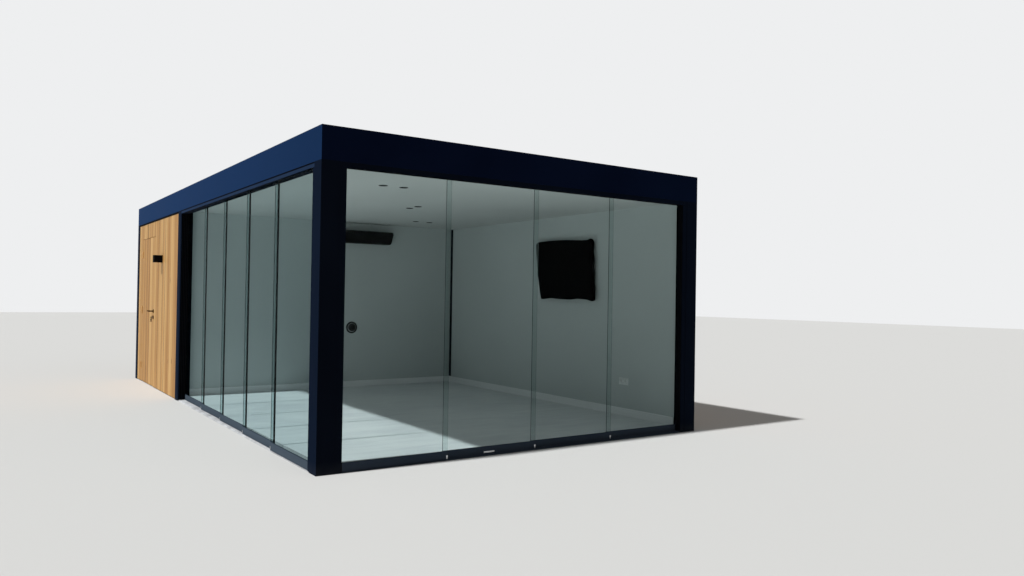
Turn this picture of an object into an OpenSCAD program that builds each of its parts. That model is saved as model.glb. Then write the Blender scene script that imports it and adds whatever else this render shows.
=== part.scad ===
// Garden office pod: a metal frame round a glass-walled lounge, with a timber-clad store behind it.
// The origin is on the ground at the middle of the footprint. The glass front faces -Y, and +Z is up.
// Plan positions count from the front left corner: "along" a wall, and "deep" into the pod.

/* [Frame] */
// Width across the glass front
pod_w = 4170; // [3800:10:4600]
// Length from the front to the rear
pod_d = 7990; // [7700:10:8600]
// Height from the ground to the top of the fascia
pod_h = 2700; // [2600:10:2900]
// Side of a square post
post_t = 150; // [145:5:160]
// Wall of a post's hollow section
post_wall = 5; // [3:1:8]
// Distance from the front to the middle posts
lounge_d = 4890; // [4700:10:5000]
// Level of the floor above the ground
floor_h = 50; // [30:5:50]

/* [Roof] */
// Height of the fascia's face
fascia_h = 270; // [240:5:300]
// Thickness of the fascia's metal
fascia_t = 5; // [3:1:6]
// Width of the coping on top of the fascia
coping_w = 90; // [60:5:120]
// Depth of the coping's turned-down edge
coping_hem = 20; // [10:1:30]
// Height of the shelf that carries the roof deck, above the fascia's foot
shelf_h = 33; // [28:1:40]
// Thickness of the roof deck
deck_t = 137; // [100:1:150]
// Thickness of the roof membrane
membrane_t = 4; // [2:1:6]
// Height that the membrane turns up at the edges
membrane_up = 60; // [30:5:70]
// Thickness of the ceiling with its battens
ceiling_t = 33; // [25:1:33]

/* [Sliding glass] */
// Distance between neighbouring tracks
track_pitch = 20; // [20:1:24]
// Depth of the outermost rail behind the post faces
track_lead = 7; // [6:1:20]
// Thickness of a bottom rail
rail_t = 15; // [14:1:15]
// Height of a bottom rail's foot above the ground
rail_foot = 9; // [9:1:12]
// Height of a bottom rail's top above the ground
rail_top = 78; // [55:1:85]
// Thickness of the glass
glass_t = 8; // [6:1:8]
// Overlap of neighbouring panes
overlap = 36; // [20:1:80]
// Depth of the channels that the panes enter
channel = 25; // [20:1:30]
// Room kept between parts that slide
clear = 6; // [5:1:6]
// Height of the top track's fins
track_h = 40; // [34:1:45]
// Height of the ribs that the panels roll on
rib_h = 12; // [8:1:12]
// Width of the jambs at the near and far end of the front
front_jambs = [60, 60]; // [30:5:100]
// Width of the jambs at the near and far end of the left side
left_jambs = [40, 30]; // [30:5:100]

/* [Walls] */
// Thickness of the timber boarding
board_t = 20; // [16:1:24]
// Depth of the boarding behind the post faces
board_set = 6; // [2:1:10]
// Gap under the boarding
board_foot = 8; // [5:1:20]
// Height of the metal strip over the boarding
head_strip = 25; // [15:1:40]
// Thickness of the partition behind the lounge
partition_t = 80; // [70:5:100]
// Height of the skirting board
skirting_h = 85; // [60:5:100]
// Thickness of the skirting board
skirting_t = 12; // [9:1:15]

/* [Storage door] */
// Distance from the front to the door's latch edge
door_near = 6580; // [6500:5:6600]
// Width of the door leaf
door_w = 947; // [850:1:950]
// Height of the door's top above the ground
door_top = 2183; // [2000:1:2220]
// Height of the door's foot above the ground
door_foot = 12; // [10:1:20]
// Thickness of the leaf without its boarding
leaf_t = 44; // [40:1:50]
// Width of the door frame's members
frame_w = 40; // [30:1:50]
// Height of the lever above the ground
lever_z = 1100; // [1000:5:1150]
// Distance from the latch edge to the lever's spindle
backset = 50; // [45:1:60]
// Length of the lever
lever_l = 138; // [110:1:140]
// Distance that the lever stands proud of the boarding
lever_out = 64; // [45:1:70]
// Drop from the lever to the key cylinder
lock_drop = 90; // [70:1:95]

/* [Fittings] */
// Side of the cube lamp
lamp_side = 100; // [80:5:120]
// Distance that the lamp stands proud of the boarding
lamp_out = 110; // [90:5:120]
// Distance from the front to the lamp's near side
lamp_near = 6035; // [5900:5:6100]
// Height of the lamp's foot above the ground
lamp_z = 1795; // [1700:5:1900]
// Length, depth and height of the wall unit over the lounge
air_size = [820, 200, 182]; // [150:1:900]
// Distance from the pod's left face to the wall unit
air_from_left = 2110; // [1000:10:2900]
// Height of the wall unit's foot above the ground
air_z = 2130; // [2000:5:2200]
// Width, depth and height of the screen
screen_size = [1158, 60, 762]; // [50:1:1300]
// Distance from the front to the screen's near side
screen_near = 1422; // [1000:1:2000]
// Height of the screen's foot above the ground
screen_z = 1362; // [1200:1:1500]
// Distance from the wall to the back of the screen
screen_off = 25; // [20:1:60]
// Diameter of a downlight's ring
downlight_d = 86; // [76:1:100]
// Distance between the two lights of a pair
downlight_gap = 216; // [160:1:300]

/* [Hidden] */
front_n = 4;
left_n = 5;

metal = "#141c28";
pale_metal = "#b4b8bb";
timber = "#d2a878";
white = "#e8e8e4";
glass = [0.62, 0.72, 0.70, 0.35];
hardware = "#3a3430";
black = "#111214";

beam_z = pod_h - fascia_h;             // the fascia's foot, and the top of posts and walls
deck_z = beam_z + shelf_h;             // underside of the roof deck
ceiling_z = deck_z - ceiling_t;        // height of the lounge's ceiling
core_set = board_set + board_t;        // where a wall's core starts behind the post faces
store_d = lounge_d + post_t;           // distance from the front to the back of the middle posts
partition_y = store_d - partition_t;   // distance from the front to the partition's face
plate_t = 4;                           // base plate of a sill
fin_t = 2;                             // fins of the tracks and side profiles
rib_t = 2;                             // ribs of a sill
track_plate_t = 6;                     // plate of a top track
glass_seat = 34;                       // foot of the glass in its rail
glass_rise = 25;                       // height of the glass inside the top track
pane_in = [20, 10];                    // how far the near and far panes enter their side profiles
door_far = door_near + door_w;
rose_r = 26;                           // radius of the round plates behind the lever and the key
rose_t = 6;
neck_r = 9;                            // radius of the lever's neck
spindle_gap = 0.5;                     // gap between the neck and the leaf
eps = 1;                               // what a cutting shape passes through a face by

// A corner of the pod's plan, so that children are placed from the front left corner
module from_corner() translate([-pod_w / 2, -pod_d / 2, 0]) children();

// Swaps the two plan directions, which turns a front wall into a left one
module on_left() from_corner() mirror([1, -1, 0]) children();

// A box from its lowest to its highest corner
module block(low, high) translate(low) cube(high - low);

// Rectangle with round corners, centred
module round_rect(size, r) {
    square([size[0] - 2 * r, size[1]], center = true);
    square([size[0], size[1] - 2 * r], center = true);
    for (x = [-1, 1], y = [-1, 1])
        translate([x * (size[0] / 2 - r), y * (size[1] / 2 - r)]) circle(r, $fn = 32);
}

// Frame and floor

module floor_slab() color("#c9c9c6") from_corner() {
    union() {
        block([post_t, sill_depth(front_n), 0], [pod_w - post_t, pod_d - post_t, floor_h]);
        block([sill_depth(left_n), post_t, 0], [post_t + eps, lounge_d, floor_h]);
    }
}

module posts() color(metal) from_corner()
    for (x = [0, pod_w - post_t], y = [0, lounge_d, pod_d - post_t]) translate([x, y, 0])
        difference() {
            cube([post_t, post_t, beam_z]);
            translate([post_wall, post_wall, -eps])
                cube([post_t - 2 * post_wall, post_t - 2 * post_wall, beam_z + 2 * eps]);
        }

// Section of the fascia: inwards from its face, and up
fascia_section = [
    [0, beam_z], [0, pod_h], [coping_w, pod_h], [coping_w, pod_h - coping_hem],
    [coping_w - fascia_t, pod_h - coping_hem], [coping_w - fascia_t, pod_h - fascia_t],
    [fascia_t, pod_h - fascia_t], [fascia_t, beam_z + fascia_t],
    [post_t - fascia_t, beam_z + fascia_t], [post_t - fascia_t, deck_z],
    [post_t, deck_z], [post_t, beam_z]];

// A length of fascia with mitred ends, its face on the X axis
module fascia_run(run) color(metal) intersection() {
    rotate([90, 0, 90]) linear_extrude(run, center = true) polygon(fascia_section);
    translate([0, 0, beam_z - eps]) linear_extrude(fascia_h + 2 * eps)
        polygon([[-run / 2, 0], [run / 2, 0], [run / 2 - post_t, post_t], [post_t - run / 2, post_t]]);
}

module fascia_front() translate([0, -pod_d / 2, 0]) fascia_run(pod_w);
module fascia_rear() rotate(180) translate([0, -pod_d / 2, 0]) fascia_run(pod_w);
module fascia_left() rotate(-90) translate([0, -pod_w / 2, 0]) fascia_run(pod_d);
module fascia_right() rotate(90) translate([0, -pod_w / 2, 0]) fascia_run(pod_d);

// Roof

module roof_deck() color("#8a6f4c") from_corner()
    block([fascia_t, fascia_t, deck_z], [pod_w - fascia_t, pod_d - fascia_t, deck_z + deck_t]);

module roof_membrane() color("#3a3c3e") from_corner() translate([0, 0, deck_z + deck_t])
    difference() {
        block([fascia_t, fascia_t, 0], [pod_w - fascia_t, pod_d - fascia_t, membrane_up]);
        block([fascia_t + membrane_t, fascia_t + membrane_t, membrane_t],
              [pod_w - fascia_t - membrane_t, pod_d - fascia_t - membrane_t, membrane_up + eps]);
    }

// A round leaf guard over the rainwater outlet, near the rear left corner
outlet_r = 70;
outlet_h = 40;
outlet_bars = 12;
module roof_outlet() color("#2c2e30") from_corner()
    translate([2 * coping_w + outlet_r, pod_d - 2 * coping_w - outlet_r, deck_z + deck_t + membrane_t])
        difference() {
            union() {
                cylinder(h = 4, r = outlet_r + 20, $fn = 48);
                cylinder(h = outlet_h, r = outlet_r, $fn = 48);
            }
            translate([0, 0, 4]) cylinder(h = outlet_h - 8, r = outlet_r - 6, $fn = 48);
            for (i = [0:outlet_bars - 1]) rotate(i * 360 / outlet_bars)
                translate([outlet_r / 2, -5, 8]) cube([outlet_r, 10, outlet_h - 16]);
        }

// The ceiling, with a hole for each downlight's cup
module ceiling() color(white) difference() {
    from_corner() block([post_t, post_t, ceiling_z], [pod_w - post_t, pod_d - post_t, deck_z]);
    at_downlights() translate([0, 0, -eps]) cylinder(h = ceiling_t + 2 * eps, r = cup_r + 1, $fn = 40);
}

// Sliding glass walls

// Depth of a rail's face on track k, of a fin beside it, and of a sill's inner edge
function rail_depth(k) = track_lead + (k - 1) * track_pitch;
function fin_depth(k) = rail_depth(k) - (track_pitch - rail_t + fin_t) / 2;
function sill_depth(n) = rail_depth(n) + rail_t + 14;

// Where a wall of n panes starts and ends, the width of a pane and the step between panes
function wall_end(n) = n == front_n ? pod_w - post_t : lounge_d;
function jambs(n) = n == front_n ? front_jambs : left_jambs;
function panes_start(n) = post_t + jambs(n)[0] - pane_in[0];
function panes_end(n) = wall_end(n) - jambs(n)[1] + pane_in[1];
function pane_w(n) = (panes_end(n) - panes_start(n) + (n - 1) * overlap) / n;
function pane_step(n) = pane_w(n) - overlap;

// Extrudes a section of depth and height along a wall
module along(from, to) translate([from, 0, 0]) rotate([90, 0, 90]) linear_extrude(to - from) children();

module top_track(n) color(metal) along(post_t, wall_end(n)) {
    translate([fin_depth(1), beam_z - track_plate_t])
        square([fin_depth(n + 1) - fin_depth(1) + fin_t, track_plate_t]);
    for (k = [1:n + 1]) translate([fin_depth(k), beam_z - track_h]) square([fin_t, track_h]);
}

// The base plate, the ribs that the panels roll on, and the upstand that meets the floor
module sill(n) color(pale_metal) {
    along(post_t, wall_end(n)) {
        translate([rail_depth(1) - clear, 0])
            square([sill_depth(n) - rail_depth(1) + clear, plate_t]);
        translate([sill_depth(n) - plate_t, 0]) square([plate_t, floor_h]);
    }
    along(post_t + jambs(n)[0], wall_end(n) - jambs(n)[1])
        for (k = [1:n]) translate([rail_depth(k) + (rail_t - rib_t) / 2, plate_t - 0.01])
            square([rib_t, rib_h + 0.01]);
}

// An upright with one channel for each track, its back on the X = 0 face
module side_profile(n, width) color(metal)
    translate([0, 0, plate_t]) linear_extrude(beam_z - track_h - plate_t) {
        translate([0, fin_depth(1)])
            square([width - channel, fin_depth(n + 1) - fin_depth(1) + fin_t]);
        for (k = [1:n + 1]) translate([0, fin_depth(k)]) square([width, fin_t]);
    }

module side_pair(n) {
    translate([post_t, 0, 0]) side_profile(n, jambs(n)[0]);
    translate([wall_end(n), 0, 0]) mirror([1, 0, 0]) side_profile(n, jambs(n)[1]);
}

module glass_pane(n, k) color(glass)
    translate([panes_start(n) + (k - 1) * pane_step(n), rail_depth(k) + (rail_t - glass_t) / 2, glass_seat])
        cube([pane_w(n), glass_t, beam_z - track_h + glass_rise - glass_seat]);

// The rail straddles its rib and holds the foot of the glass. The end rails stop short of the jambs.
module bottom_rail(n, k) color(metal) {
    start = k == 1 ? post_t + jambs(n)[0] + clear : panes_start(n) + (k - 1) * pane_step(n);
    end = k == n ? wall_end(n) - jambs(n)[1] - clear : panes_start(n) + (k - 1) * pane_step(n) + pane_w(n);
    groove_w = rib_t + 2 * (clear - 1);
    groove_h = plate_t + rib_h + clear - rail_foot;
    along(start, end) translate([rail_depth(k), rail_foot]) difference() {
        square([rail_t, rail_top - rail_foot]);
        translate([(rail_t - groove_w) / 2, -eps]) square([groove_w, groove_h + eps]);
        translate([(rail_t - glass_t) / 2, glass_seat - rail_foot]) square([glass_t, rail_top]);
    }
}

module front_top_track() from_corner() top_track(front_n);
module left_top_track() on_left() top_track(left_n);
module front_sill() from_corner() sill(front_n);
module left_sill() on_left() sill(left_n);
module side_profiles() {
    from_corner() side_pair(front_n);
    on_left() side_pair(left_n);
}

// Walls

module partition() color(white) from_corner()
    block([post_t, partition_y, floor_h], [pod_w - post_t, store_d, ceiling_z]);

// The cores of the left wall stop at the door frame
opening_near = door_near - clear - frame_w;
opening_far = door_far + clear + frame_w;
opening_top = door_top + clear + frame_w;
module left_core(near, far, low) color(white) from_corner()
    block([core_set, near, low], [post_t, far, beam_z]);
module left_wall_near() left_core(store_d, opening_near, 0);
module left_wall_far() left_core(opening_far, pod_d - post_t, 0);
module left_wall_over() left_core(opening_near, opening_far, opening_top);

module right_wall() color(white) from_corner() {
    block([pod_w - post_t, post_t, 0], [pod_w - core_set, lounge_d, beam_z]);
    block([pod_w - post_t, store_d, 0], [pod_w - core_set, pod_d - post_t, beam_z]);
}

module rear_wall() color(white) from_corner()
    block([post_t, pod_d - post_t, 0], [pod_w - post_t, pod_d - core_set, beam_z]);

// Boarding between two posts: children cut the openings. It faces -Y, with its outer plane on the X axis.
module boarding(near, far) color(timber)
    block([near, board_set, board_foot], [far, core_set, beam_z - head_strip]);

module left_cladding() on_left() difference() {
    boarding(store_d, pod_d - post_t);
    block([door_near - clear, -eps, -eps], [door_far + clear, core_set + eps, door_top + clear]);
}

module right_cladding() from_corner() translate([pod_w, 0, 0]) rotate(90) {
    boarding(post_t, lounge_d);
    boarding(store_d, pod_d - post_t);
}

module rear_cladding() from_corner() translate([pod_w, pod_d, 0]) rotate(180)
    boarding(post_t, pod_w - post_t);

// The metal strips over the boarding, in line with the lip of the top tracks
module head_strip(near, far) color(metal)
    block([near, fin_depth(1), beam_z - head_strip], [far, core_set, beam_z]);
module head_strips() {
    on_left() head_strip(store_d, pod_d - post_t);
    from_corner() translate([pod_w, 0, 0]) rotate(90) {
        head_strip(post_t, lounge_d);
        head_strip(store_d, pod_d - post_t);
    }
    from_corner() translate([pod_w, pod_d, 0]) rotate(180) head_strip(post_t, pod_w - post_t);
}

// A run of skirting board with a bevelled top. Its back is on the XZ plane, and it faces -Y.
skirting_bevel = 6;
module skirting_run(run) rotate([90, 0, 90]) linear_extrude(run)
    polygon([[0, 0], [-skirting_t, 0], [-skirting_t, skirting_h - skirting_bevel],
             [skirting_bevel - skirting_t, skirting_h], [0, skirting_h]]);
module skirting() color("#d8d8d4") from_corner() translate([0, 0, floor_h]) {
    translate([post_t, partition_y, 0]) skirting_run(pod_w - 2 * post_t);
    translate([pod_w - post_t, partition_y, 0]) rotate(-90) skirting_run(partition_y - post_t);
}

// Storage door

// A knuckle hinge: its plates lie in the gap beside the leaf, and its knuckles stand proud of the boarding
hinge_h = 100;
hinge_heights = [200, 1050, 1900];     // feet of the hinges above the ground
knuckles = 5;
knuckle_r = 6;
hinge_plate_t = 2;
hinge_x = board_set - knuckle_r - 1;
hinge_y = door_far + clear / 2;
module hinge_half(first, plate_y) for (foot = hinge_heights) translate([0, 0, foot]) {
    block([board_set, plate_y, 0], [core_set + hinge_plate_t, plate_y + hinge_plate_t, hinge_h]);
    for (i = [first:2:knuckles - 1]) translate([0, 0, i * hinge_h / knuckles + spindle_gap / 2]) {
        translate([hinge_x, hinge_y, 0])
            cylinder(h = hinge_h / knuckles - spindle_gap, r = knuckle_r, $fn = 32);
        block([hinge_x, plate_y, 0],
              [board_set + eps, plate_y + hinge_plate_t, hinge_h / knuckles - spindle_gap]);
    }
}

// The leaf is set in at its latch edge, to clear the frame as it swings
latch_ease = 3;
module storage_door() color(timber) from_corner() {
    block([board_set, door_near, door_foot], [core_set, door_far, door_top]);
    block([core_set, door_near + latch_ease, door_foot], [core_set + leaf_t, door_far, door_top]);
    hinge_half(1, door_far);
}

// The frame lines the opening behind the boarding, with a stop that the leaf closes towards
stop_w = 20;
stop_x = core_set + leaf_t + clear;
module door_frame() color(metal) from_corner() {
    difference() {
        block([core_set, opening_near, 0], [post_t, opening_far, opening_top]);
        block([core_set - eps, door_near - clear, -eps], [stop_x, door_far + clear, door_top + clear]);
        block([core_set - eps, door_near - clear + stop_w, floor_h],
              [post_t + eps, door_far + clear - stop_w, door_top + clear - stop_w]);
    }
    hinge_half(0, door_far + clear - hinge_plate_t);
}

spindle_y = door_near + backset;
module at_spindle(drop) from_corner() translate([board_set, spindle_y, lever_z - drop])
    rotate([0, -90, 0]) children();

module door_lever() color(hardware) at_spindle(0) {
    translate([0, 0, spindle_gap]) cylinder(h = lever_out - spindle_gap, r = neck_r, $fn = 32);
    translate([0, 0, lever_out - neck_r]) rotate([-90, 0, 0])
        cylinder(h = lever_l - neck_r, r = neck_r, $fn = 32);
    translate([0, lever_l - neck_r, lever_out - neck_r]) sphere(neck_r, $fn = 32);
}

module door_rosettes() color(hardware) {
    at_spindle(0) difference() {
        cylinder(h = rose_t, r = rose_r, $fn = 48);
        translate([0, 0, -eps]) cylinder(h = rose_t + 2 * eps, r = neck_r + 1, $fn = 48);
    }
    at_spindle(lock_drop) {
        cylinder(h = rose_t, r = rose_r, $fn = 48);
        cylinder(h = rose_t + 4, r = 9, $fn = 32);
    }
}

// Fittings

module wall_lamp() color(black) from_corner()
    translate([board_set - lamp_out, lamp_near, lamp_z]) difference() {
        cube([lamp_out, lamp_side, lamp_side]);
        for (z = [-eps, lamp_side - 12]) translate([lamp_out / 2, lamp_side / 2, z])
            cylinder(h = 12 + eps, r = lamp_side * 0.36, $fn = 48);
    }

// The wall unit's section leans back to the wall at its foot. An air slot runs along its lower front.
air_brow_r = 26;                       // radius along the top front edge
air_belly_r = 55;                      // radius along the bottom front edge
air_lean = 50;                         // how far the foot of the front stands back from its top
air_slot = [14, 62];                   // depth and width of the air slot
air_cheek = 45;                        // width left solid at each end of the slot
module air_section() hull() {
    translate([-eps, 0]) square([eps, air_size[2]]);
    translate([air_brow_r - air_size[1], air_size[2] - air_brow_r]) circle(air_brow_r, $fn = 40);
    translate([air_lean + air_belly_r - air_size[1], air_belly_r]) circle(air_belly_r, $fn = 64);
}
module air_unit() color(black) from_corner() translate([air_from_left, partition_y, air_z]) difference() {
    intersection() {
        rotate([90, 0, 90]) linear_extrude(air_size[0]) air_section();
        translate([air_size[0] / 2, 0, air_size[2] / 2]) rotate([90, 0, 0])
            linear_extrude(air_size[1]) round_rect([air_size[0], air_size[2]], 16);
    }
    translate([air_cheek, 0, 0]) rotate([90, 0, 90]) linear_extrude(air_size[0] - 2 * air_cheek)
        translate([air_lean + air_belly_r - air_size[1], air_belly_r]) rotate(-128)
            translate([air_belly_r - air_slot[0], -air_slot[1] / 2]) square([2 * air_slot[0], air_slot[1]]);
}

// The covered screen's outline, as shares of its width from the near side and of its height
screen_outline = [
    [0, 0], [0.008, 0.34], [0.019, 0.64], [0.03, 0.82], [0.03, 0.93], [0.05, 0.985], [0.10, 0.968],
    [0.19, 0.967], [0.46, 0.992], [0.70, 1], [0.95, 0.99], [1, 0.95], [0.996, 0.775], [0.97, 0.47],
    [0.935, 0.24], [0.892, 0.015], [0.73, 0.029], [0.56, 0.016], [0.37, 0.011], [0.256, 0.026],
    [0.10, 0.016]];
screen_rim = 10;                       // step round the front of the cover
module screen_shape() polygon([for (p = screen_outline) [p[0] * screen_size[0], p[1] * screen_size[2]]]);
module wall_screen() color(black) from_corner()
    translate([pod_w - post_t - screen_off, screen_near, screen_z]) {
        mirror([1, 0, 0]) rotate([90, 0, 90]) {
            linear_extrude(screen_size[1] - screen_rim) screen_shape();
            linear_extrude(screen_size[1]) offset(delta = -screen_rim) screen_shape();
        }
        translate([0, screen_size[0] / 2 - 200, screen_size[2] / 2 - 100]) cube([screen_off, 400, 200]);
    }

// Pairs of lights run from the near left of the ceiling to its far right
downlight_pairs = [[1002, 1032, 0], [2090, 2397, 90], [2941, 4084, 0]];
downlight_lip = 4;                     // how far a ring stands under the ceiling
cup_r = 35;                            // radius and height of the cup in its hole
cup_h = 27;
lens_r = 22;                           // radius of the lens, and its height over the ceiling's face
lens_z = 16;
module at_downlights() from_corner() for (p = downlight_pairs, i = [0, 1])
    translate([p[0], p[1], ceiling_z] + i * downlight_gap * [cos(p[2]), sin(p[2]), 0]) children();
module downlights() color(black) at_downlights() rotate_extrude($fn = 40)
    polygon([[0, lens_z], [lens_r, lens_z], [cup_r - 2, -downlight_lip], [downlight_d / 2, -downlight_lip],
             [downlight_d / 2, 0], [cup_r, 0], [cup_r, cup_h], [0, cup_h]]);

floor_slab();
posts();
fascia_front();
fascia_left();
fascia_right();
fascia_rear();
roof_deck();
roof_membrane();
roof_outlet();
ceiling();
front_top_track();
front_sill();
left_top_track();
left_sill();
side_profiles();
for (k = [1:front_n]) {
    from_corner() glass_pane(front_n, k);
    from_corner() bottom_rail(front_n, k);
}
for (k = [1:left_n]) {
    on_left() glass_pane(left_n, k);
    on_left() bottom_rail(left_n, k);
}
partition();
left_wall_near();
left_wall_far();
left_wall_over();
right_wall();
rear_wall();
left_cladding();
right_cladding();
rear_cladding();
head_strips();
skirting();
storage_door();
door_frame();
door_lever();
door_rosettes();
wall_lamp();
air_unit();
wall_screen();
downlights();
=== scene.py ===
import random
from math import asin, cos, degrees, pi, radians, sin, sqrt
import bmesh
import bpy
from mathutils import Matrix, Vector, noise


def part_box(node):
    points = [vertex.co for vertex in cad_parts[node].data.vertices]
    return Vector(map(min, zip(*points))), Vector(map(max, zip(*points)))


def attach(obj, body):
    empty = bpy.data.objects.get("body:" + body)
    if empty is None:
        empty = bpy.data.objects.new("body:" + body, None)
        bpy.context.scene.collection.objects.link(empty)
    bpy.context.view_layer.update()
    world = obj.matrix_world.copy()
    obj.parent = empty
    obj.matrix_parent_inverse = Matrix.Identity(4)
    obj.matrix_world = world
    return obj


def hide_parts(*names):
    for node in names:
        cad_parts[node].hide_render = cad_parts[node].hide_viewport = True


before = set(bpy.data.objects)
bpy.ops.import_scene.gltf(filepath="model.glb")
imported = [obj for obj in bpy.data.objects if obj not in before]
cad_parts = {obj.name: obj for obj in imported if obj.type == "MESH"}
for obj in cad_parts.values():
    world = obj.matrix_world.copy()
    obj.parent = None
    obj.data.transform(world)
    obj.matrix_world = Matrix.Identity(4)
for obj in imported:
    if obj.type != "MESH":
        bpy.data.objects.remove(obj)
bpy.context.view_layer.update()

# Plan positions count from the pod's front left corner, in metres
corner = Vector(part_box("posts")[0])


def planBox(node):
    low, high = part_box(node)
    return Vector(low) - corner, Vector(high) - corner


podWide, podLong = planBox("posts")[1].xy


# Each side of the pod has a frame of its own: along the wall, into the wall, and up
def onFront(along, deep, up):
    return Vector((along, deep, up))


def onLeft(along, deep, up):
    return Vector((deep, along, up))


def onRight(along, deep, up):
    return Vector((podWide - deep, along, up))


def onRear(along, deep, up):
    return Vector((along, podLong - deep, up))


onSide = {"front": onFront, "left": onLeft, "right": onRight, "rear": onRear}


# The spans of a node along a side's wall, into it, and up
def sideBox(side, node):
    low, high = planBox(node)
    if side in ("left", "right"):
        low, high = low.yxz, high.yxz
    depths = (low.y, high.y)
    if side in ("right", "rear"):
        reach = podWide if side == "right" else podLong
        depths = (reach - high.y, reach - low.y)
    return (low.x, high.x), depths, (low.z, high.z)


def addObject(name, data):
    made = bpy.data.objects.new(name, data)
    bpy.context.collection.objects.link(made)
    return made


# The camera stands at the near left, where the photograph was taken
view = {
    "place": (-4.282, -9.795, 1.399),  # metres
    "lens": 27.67,  # mm, on a sensor of the next width
    "sensor": 36,
    "yaw": 34.513,  # degrees to the right of straight at the front
    "pitch": 0.61,
    "roll": 0.92,
}


def placeCamera():
    yaw, pitch, roll = (radians(view[key]) for key in ("yaw", "pitch", "roll"))
    ahead = Vector((sin(yaw) * cos(pitch), cos(yaw) * cos(pitch), sin(pitch)))
    level = Vector((cos(yaw), -sin(yaw), 0))
    upright = level.cross(ahead)
    right = level * cos(roll) + upright * sin(roll)
    up = upright * cos(roll) - level * sin(roll)
    lens = bpy.data.cameras.new("viewCamera")
    lens.lens = view["lens"]
    lens.sensor_width = view["sensor"]
    camera = addObject("viewCamera", lens)
    turned = Matrix((right, up, -ahead)).transposed().to_4x4()
    camera.matrix_world = Matrix.Translation(view["place"]) @ turned
    bpy.context.scene.camera = camera


placeCamera()
print("camera placed")


# A colour as it shows on screen, from 0 to 255, turned into the light values that shaders take
def paint(colour):
    shares = [value / 255 for value in colour]
    return tuple(s / 12.92 if s <= 0.04045 else ((s + 0.055) / 1.055) ** 2.4 for s in shares) + (1.0,)


# Adds one shader node beside another node or socket and gives back one of its outputs. A socket given as a
# value is linked, and anything else is set.
def put(beside, kind, sockets=None, out=0, **settings):
    node = beside.id_data.nodes.new("ShaderNode" + kind)
    for name, value in settings.items():
        setattr(node, name, value)
    for name, value in (sockets or {}).items():
        if isinstance(value, bpy.types.NodeSocket):
            join(value, node.inputs[name])
        else:
            node.inputs[name].default_value = value
    return node.outputs[out]


def join(source, target):
    target.id_data.links.new(source, target)


def startFinish(name, **sockets):
    material = bpy.data.materials.new(name)
    material.use_nodes = True
    shader = material.node_tree.nodes["Principled BSDF"]
    for key, value in sockets.items():
        shader.inputs[key.replace("_", " ")].default_value = value
    return material, shader


def stretched(spot, scale):
    return put(spot, "Mapping", {"Vector": spot, "Scale": scale})


# Where a point lies on its piece, in metres, stretched by the given amounts
def pieceSpace(shader, scale=None):
    spot = put(shader, "TexCoord", out="Object")
    return stretched(spot, scale) if scale else spot


def noiseOf(spot, scale, detail=2.0, rough=0.5, twist=0.0):
    return put(spot, "TexNoise", {"Vector": spot, "Scale": scale, "Detail": detail, "Roughness": rough,
                                  "Distortion": twist})


def reckon(operation, *values):
    return put(values[0], "Math", dict(enumerate(values)), operation=operation)


def mixColours(share, below, above):
    return put(share, "MixRGB", {"Fac": share, "Color1": below, "Color2": above})


def mixShaders(share, below, above):
    return put(share, "MixShader", {0: share, 1: below, 2: above})


def rampOf(share, *stops):
    colours = put(share, "ValToRGB", {"Fac": share})
    marks = colours.node.color_ramp.elements
    stops = [(place, paint(colour)) for place, colour in stops]
    marks[0].position, marks[0].color = stops[0]
    marks[1].position, marks[1].color = stops[-1]
    for place, colour in stops[1:-1]:
        marks.new(place).color = colour
    return colours


# Turns a share between start and end into a value between low and high
def spread(share, low, high, start=0, end=1):
    return put(share, "MapRange", {"Value": share, "From Min": start, "From Max": end, "To Min": low,
                                   "To Max": high})


def bumpTo(shader, height, depth, under=None):
    sockets = {"Height": height, "Distance": depth, "Strength": 1.0}
    if under is not None:
        sockets["Normal"] = under
    bumped = put(shader, "Bump", sockets)
    join(bumped, shader.inputs["Normal"])
    return bumped


def settle(shader, colours, rough, height, depth, under=None):
    join(colours, shader.inputs["Base Color"])
    join(rough, shader.inputs["Roughness"])
    bumpTo(shader, height, depth, under)


# Satin powder coat: a near-even colour, a fine grain and a little dust low down
# Its sheen at a glance is painted reflection: the sky's on the fascias, the sun's highlight on the rails
coat = {
    "fascia": [(7, 13, 30), (10, 17, 36)],  # the two colours that each coat drifts between; the fascia's bluer ones are partly painted sky reflection
    "frame": [(9, 12, 19), (12, 16, 24)],
    "rails": [(36, 45, 58), (44, 53, 66)],
    # lighter than the frame, as painted sunlight on the left top track's outer fin
    "track": [(28, 37, 52), (33, 43, 58)],
    # also the colour of the painted shadow line under the left fascia
    "strips": [(5, 6, 9), (8, 9, 12)],
    "lamp": [(14, 13, 14), (20, 19, 20)],
    "stops": (0.35, 0.7),  # where the drift takes the two colours
    "drift": (1.3, 3),  # scale and detail of a noise
    "dust": (70, 72, 74),
    "dustPatch": (9, 4),
    "dustShare": 0.28,  # at the ground
    "dustTop": 0.10,  # metres above the ground
    "rough": (0.34, 0.46),
    "grain": (900, 2),
    "grainDepth": 0.00004,
    "bend": 1.1,
    "shine": 0.02,
    "glance": 0.55,  # how wide the glance spreads
    # sheen tint that paints the sky's reflection
    "paintedSkyGlance": (0.09, 0.34, 1.0, 1.0),
    # sheen tint that paints the sun's grazing highlight
    "paintedSunGlance": (0.63, 0.83, 1.0, 1.0),
}


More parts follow.
